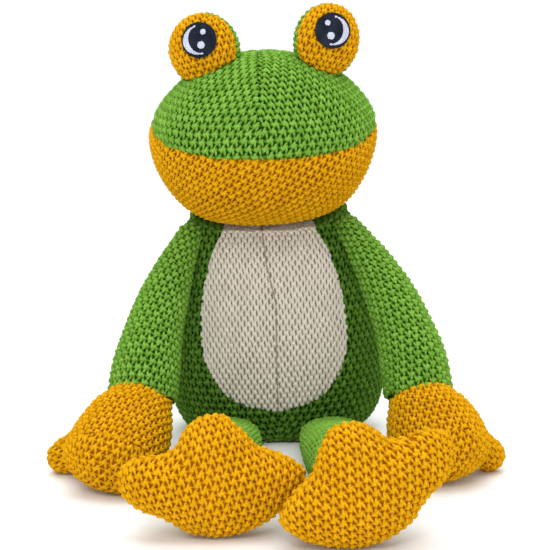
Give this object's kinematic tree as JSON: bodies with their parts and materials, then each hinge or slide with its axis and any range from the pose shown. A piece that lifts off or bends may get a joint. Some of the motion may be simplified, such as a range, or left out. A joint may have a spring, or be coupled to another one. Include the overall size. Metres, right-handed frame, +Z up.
{
  "type": "plush frog",
  "caption": "Seated stuffed knit frog with a wide jaw, raised eyes, mitten hands and three-toed feet; head, arms, hands, legs and feet move at their seams.",
  "frame": {"origin": "middle of the bottom of the box that bounds the whole frog, on the surface that it sits on", "axes": "+Z up, the frog faces -Y, its right hand is on the -X side"},
  "size_m": [0.2836, 0.298, 0.2857],
  "materials": {
    "green_knit": "chunky cotton knit, double moss stitch, matt",
    "yellow_knit": "chunky cotton knit, double moss stitch, matt",
    "cream_knit": "chunky cotton knit, matt",
    "black_thread": "satin-stitch embroidery, slight sheen",
    "white_thread": "satin-stitch embroidery, slight sheen",
    "stuffing": "loose polyester fibre"
  },
  "bodies": {
    "torso": {"torso_right_panel": "green_knit", "tummy_right_panel": "cream_knit", "torso_left_panel": "green_knit", "tummy_left_panel": "cream_knit", "torso_filling": "stuffing"},
    "neck": {"neck_filling": "stuffing"},
    "head": {"jaw_panel": "yellow_knit", "crown_right_panel": "green_knit", "crown_left_panel": "green_knit", "head_filling": "stuffing", "eye_right_front": "yellow_knit", "eye_right_back": "green_knit", "eye_right_filling": "stuffing", "eye_right_pupil": "black_thread", "eye_right_glint_large": "white_thread", "eye_right_glint_small": "white_thread", "eye_right_crescent": "white_thread", "eye_left_front": "yellow_knit", "eye_left_back": "green_knit", "eye_left_filling": "stuffing", "eye_left_pupil": "black_thread", "eye_left_glint_large": "white_thread", "eye_left_glint_small": "white_thread", "eye_left_crescent": "white_thread"},
    "arm_right": {"sleeve_right": "green_knit", "sleeve_right_filling": "stuffing"},
    "hand_right": {"hand_right_skin": "yellow_knit", "hand_right_filling": "stuffing"},
    "leg_right": {"leg_right_skin": "green_knit", "leg_right_filling": "stuffing"},
    "foot_right": {"foot_right_sole": "yellow_knit", "foot_right_top": "yellow_knit", "foot_right_filling": "stuffing"},
    "arm_left": {"sleeve_left": "green_knit", "sleeve_left_filling": "stuffing"},
    "hand_left": {"hand_left_skin": "yellow_knit", "hand_left_filling": "stuffing"},
    "leg_left": {"leg_left_skin": "green_knit", "leg_left_filling": "stuffing"},
    "foot_left": {"foot_left_sole": "yellow_knit", "foot_left_top": "yellow_knit", "foot_left_filling": "stuffing"}
  },
  "joints": [
    {"name": "head_turn", "type": "hinge", "parent": "torso", "child": "neck", "pos_m": [-0.00597, 0.105, 0.15179], "axis": [0, 0, 1], "range_deg": [-10, 10]},
    {"name": "head_nod", "type": "hinge", "parent": "neck", "child": "head", "pos_m": [-0.00597, 0.105, 0.15179], "axis": [1, 0, 0], "range_deg": [-12, 6]},
    {"name": "shoulder_right_raise", "type": "hinge", "parent": "torso", "child": "arm_right", "pos_m": [-0.05969, 0.07598, 0.13522], "axis": [-1, 0, 0], "range_deg": [0, 55]},
    {"name": "wrist_right_bend", "type": "hinge", "parent": "arm_right", "child": "hand_right", "pos_m": [-0.08252, 0.004, 0.047], "axis": [-1, 0, 0], "range_deg": [-25, 25]},
    {"name": "hip_right_lift", "type": "hinge", "parent": "torso", "child": "leg_right", "pos_m": [-0.033, 0.053, 0.01], "axis": [-1, 0, 0], "range_deg": [0, 20]},
    {"name": "ankle_right_bend", "type": "hinge", "parent": "leg_right", "child": "foot_right", "pos_m": [-0.0337, -0.095, 0.0336], "axis": [-1, 0, 0], "range_deg": [-20, 20]},
    {"name": "shoulder_left_raise", "type": "hinge", "parent": "torso", "child": "arm_left", "pos_m": [0.04918, 0.07598, 0.14093], "axis": [-1, 0, 0], "range_deg": [0, 55]},
    {"name": "wrist_left_bend", "type": "hinge", "parent": "arm_left", "child": "hand_left", "pos_m": [0.08798, 0.012, 0.047], "axis": [-1, 0, 0], "range_deg": [-25, 25]},
    {"name": "hip_left_lift", "type": "hinge", "parent": "torso", "child": "leg_left", "pos_m": [0.03697, 0.053, 0.01], "axis": [-1, 0, 0], "range_deg": [0, 20]},
    {"name": "ankle_left_bend", "type": "hinge", "parent": "leg_left", "child": "foot_left", "pos_m": [0.04117, -0.11, 0.03598], "axis": [-1, 0, 0], "range_deg": [-20, 20]}
  ]
}
